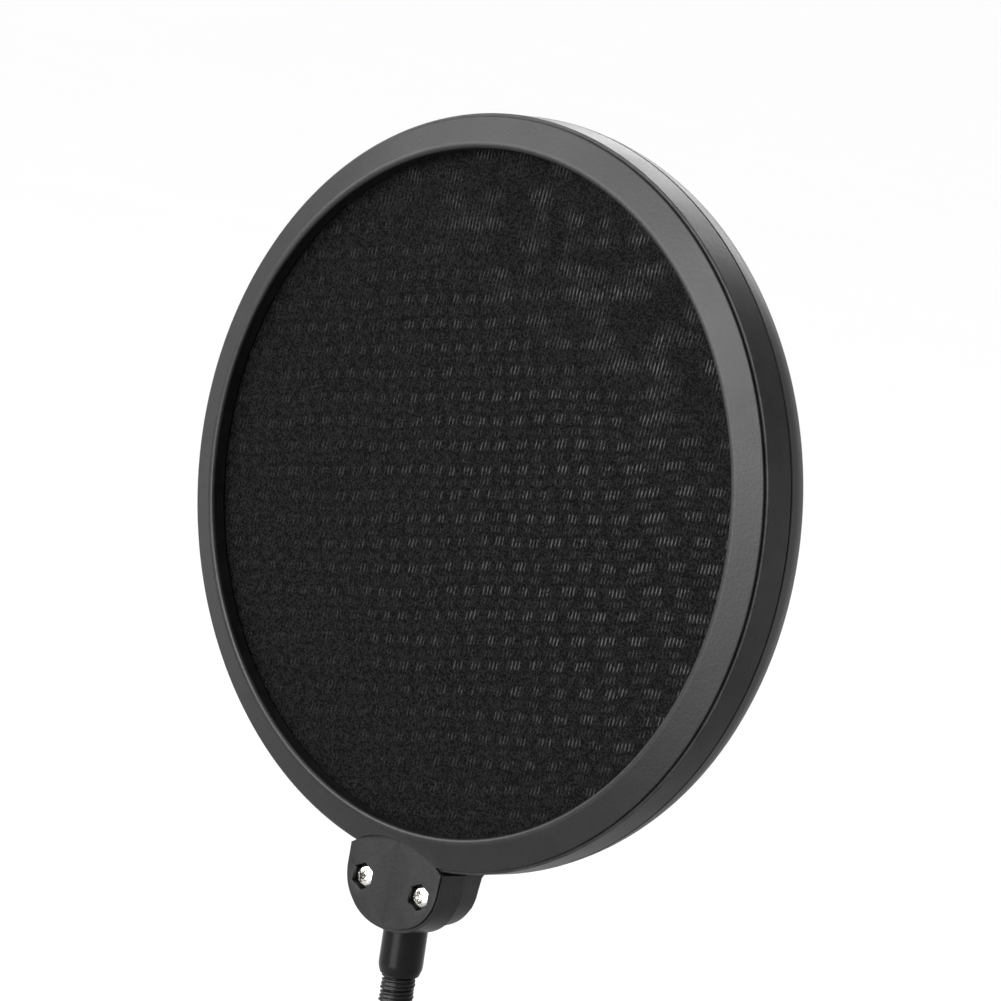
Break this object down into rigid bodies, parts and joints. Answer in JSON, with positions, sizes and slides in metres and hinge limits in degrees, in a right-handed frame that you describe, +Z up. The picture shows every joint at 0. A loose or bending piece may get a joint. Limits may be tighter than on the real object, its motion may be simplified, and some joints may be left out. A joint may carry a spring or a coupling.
{
  "type": "pop filter",
  "caption": "Round two-layer mesh pop filter in a black plastic ring, on a bendable metal neck with a screw clamp.",
  "frame": {"origin": "centre of the fixed jaw's rubber face, which rests on a desk edge or bears on a stand", "axes": "+Z up the neck, -Y is the filter's front, which faces the speaker, -X is the clamp's open side"},
  "size_m": [0.1554, 0.0404, 0.6511],
  "materials": {
    "black_abs": "moulded black plastic, satin, with a fine grain",
    "nylon_mesh": "fine black nylon knit, stretched",
    "black_steel": "semi-gloss black finish on steel",
    "bright_steel": "bright nickel plate",
    "brass": "turned brass",
    "black_rubber": "matt black rubber"
  },
  "bodies": {
    "clamp": {"clamp_frame": "black_abs", "jaw_pad": "black_rubber", "thread_insert": "brass", "lower_ferrule": "black_steel", "ferrule_set_screw": "black_steel", "neck_section_1": "black_steel"},
    "neck_2": {"neck_section_2": "black_steel"},
    "neck_3": {"neck_section_3": "black_steel"},
    "neck_4": {"neck_section_4": "black_steel"},
    "neck_5": {"neck_section_5": "black_steel"},
    "neck_6": {"neck_section_6": "black_steel"},
    "neck_7": {"neck_section_7": "black_steel"},
    "neck_8": {"neck_section_8": "black_steel"},
    "neck_9": {"neck_section_9": "black_steel"},
    "head": {"neck_section_10": "black_steel", "upper_ferrule": "black_steel", "front_ring": "black_abs", "middle_ring": "black_abs", "rear_ring": "black_abs", "front_mesh": "nylon_mesh", "rear_mesh": "nylon_mesh", "boss_screw_left": "bright_steel", "boss_screw_right": "bright_steel", "boss_nut_left": "bright_steel", "boss_nut_right": "bright_steel"},
    "pad": {"pressure_pad": "black_abs", "pressure_pad_rubber": "black_rubber", "pad_retaining_ring": "bright_steel"},
    "screw": {"clamp_screw": "bright_steel", "clamp_knob": "black_abs", "knob_cap": "black_abs", "knob_pin": "bright_steel"}
  },
  "joints": [
    {"name": "neck_nod_1", "type": "hinge", "parent": "clamp", "child": "neck_2", "pos_m": [0, -0.00013, 0.062], "axis": [1, 0, 0], "range_deg": [-24, 24]},
    {"name": "neck_sway_2", "type": "hinge", "parent": "neck_2", "child": "neck_3", "pos_m": [0, -0.0005, 0.094], "axis": [0, 0.9999, 0.0157], "range_deg": [-30, 30]},
    {"name": "neck_nod_3", "type": "hinge", "parent": "neck_3", "child": "neck_4", "pos_m": [0, -0.00113, 0.12599], "axis": [1, 0, 0], "range_deg": [-24, 24]},
    {"name": "neck_sway_4", "type": "hinge", "parent": "neck_4", "child": "neck_5", "pos_m": [0, -0.00201, 0.15798], "axis": [0, 0.9995, 0.0314], "range_deg": [-30, 30]},
    {"name": "neck_nod_5", "type": "hinge", "parent": "neck_5", "child": "neck_6", "pos_m": [0, -0.00314, 0.18996], "axis": [1, 0, 0], "range_deg": [-24, 24]},
    {"name": "neck_sway_6", "type": "hinge", "parent": "neck_6", "child": "neck_7", "pos_m": [0, -0.00452, 0.22193], "axis": [0, 0.9989, 0.0471], "range_deg": [-30, 30]},
    {"name": "neck_nod_7", "type": "hinge", "parent": "neck_7", "child": "neck_8", "pos_m": [0, -0.00616, 0.25389], "axis": [1, 0, 0], "range_deg": [-24, 24]},
    {"name": "neck_sway_8", "type": "hinge", "parent": "neck_8", "child": "neck_9", "pos_m": [0, -0.00804, 0.28583], "axis": [0, 0.998, 0.0628], "range_deg": [-30, 30]},
    {"name": "neck_nod_9", "type": "hinge", "parent": "neck_9", "child": "head", "pos_m": [0, -0.01018, 0.31776], "axis": [1, 0, 0], "range_deg": [-24, 24]},
    {"name": "pad_travel", "type": "slide", "parent": "clamp", "child": "pad", "axis": [0, 0, 1], "range_m": [-0.02, 0.027]},
    {"name": "screw_turn", "type": "hinge", "parent": "pad", "child": "screw", "pos_m": [0, 0, -0.06], "axis": [0, 0, 1], "range_deg": [-3601, 4861]}
  ],
  "couplings": [
    {"joint": "neck_nod_3", "follows": "neck_nod_1", "ratio": 1},
    {"joint": "neck_sway_4", "follows": "neck_sway_2", "ratio": 1},
    {"joint": "neck_nod_5", "follows": "neck_nod_1", "ratio": 1},
    {"joint": "neck_sway_6", "follows": "neck_sway_2", "ratio": 1},
    {"joint": "neck_nod_7", "follows": "neck_nod_1", "ratio": 1},
    {"joint": "neck_sway_8", "follows": "neck_sway_2", "ratio": 1},
    {"joint": "neck_nod_9", "follows": "neck_nod_1", "ratio": 1},
    {"joint": "screw_turn", "follows": "pad_travel", "rad_per_m": 3141.6}
  ]
}
